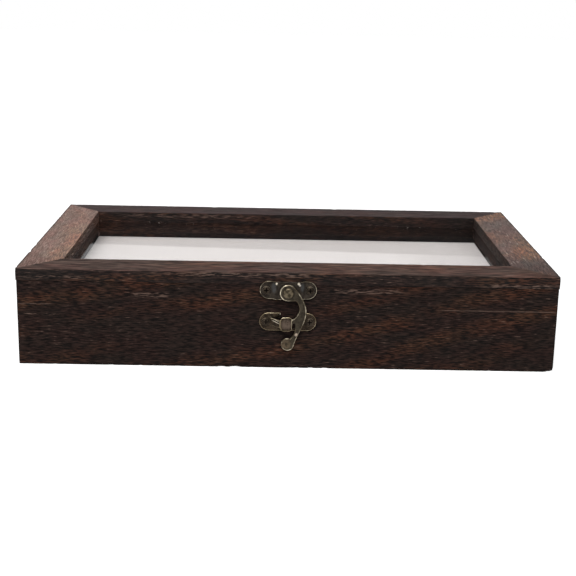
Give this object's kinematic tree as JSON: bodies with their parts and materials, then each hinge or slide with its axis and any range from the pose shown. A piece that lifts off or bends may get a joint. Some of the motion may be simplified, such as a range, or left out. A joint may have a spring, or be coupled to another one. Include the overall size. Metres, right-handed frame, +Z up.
{
  "type": "insect display box",
  "caption": "Low wooden display box with a hinged glazed lid, a white pinning foam bed and a swing-arm front latch.",
  "frame": {"origin": "on the standing surface, at the middle of the whole outline, latch and hinges included", "axes": "+X along the length, +Y from the latch towards the hinges, +Z up"},
  "size_m": [0.27, 0.1736, 0.0495],
  "materials": {
    "stained_wood": "dark burnt and brushed, matt",
    "plywood": "raw sanded plywood",
    "white_foam": "fine matt closed-cell foam",
    "clear_glass": "clear polished pane",
    "old_brass": "dark antique plating worn bright on the edges",
    "steel_pins": "bright drawn wire"
  },
  "bodies": {
    "base": {"base_front_board": "stained_wood", "base_back_board": "stained_wood", "base_left_board": "stained_wood", "base_right_board": "stained_wood", "bottom_panel": "plywood", "panel_pins": "steel_pins", "pinning_foam": "white_foam", "hinge_left_base_leaf": "old_brass", "hinge_left_pin": "old_brass", "hinge_right_base_leaf": "old_brass", "hinge_right_pin": "old_brass", "hinge_base_screws": "old_brass", "catch_screws": "old_brass", "catch_plate": "old_brass"},
    "lid": {"lid_front_strip": "stained_wood", "top_front_rail": "stained_wood", "lid_back_strip": "stained_wood", "top_back_rail": "stained_wood", "lid_left_strip": "stained_wood", "top_left_rail": "stained_wood", "lid_right_strip": "stained_wood", "top_right_rail": "stained_wood", "glass_pane": "clear_glass", "hinge_left_lid_leaf": "old_brass", "hinge_right_lid_leaf": "old_brass", "hinge_lid_screws": "old_brass", "latch_screws": "old_brass", "latch_plate": "old_brass", "latch_rivet": "old_brass"},
    "hook": {"latch_hook": "old_brass"}
  },
  "joints": [
    {"name": "lid_hinge", "type": "hinge", "parent": "base", "child": "lid", "pos_m": [0, 0.0849, 0.0315], "axis": [-1, 0, 0], "range_deg": [0, 180]},
    {"name": "hook_pivot", "type": "hinge", "parent": "lid", "child": "hook", "pos_m": [0, -0.084, 0.04], "axis": [0, -1, 0], "range_deg": [0, 100]}
  ]
}
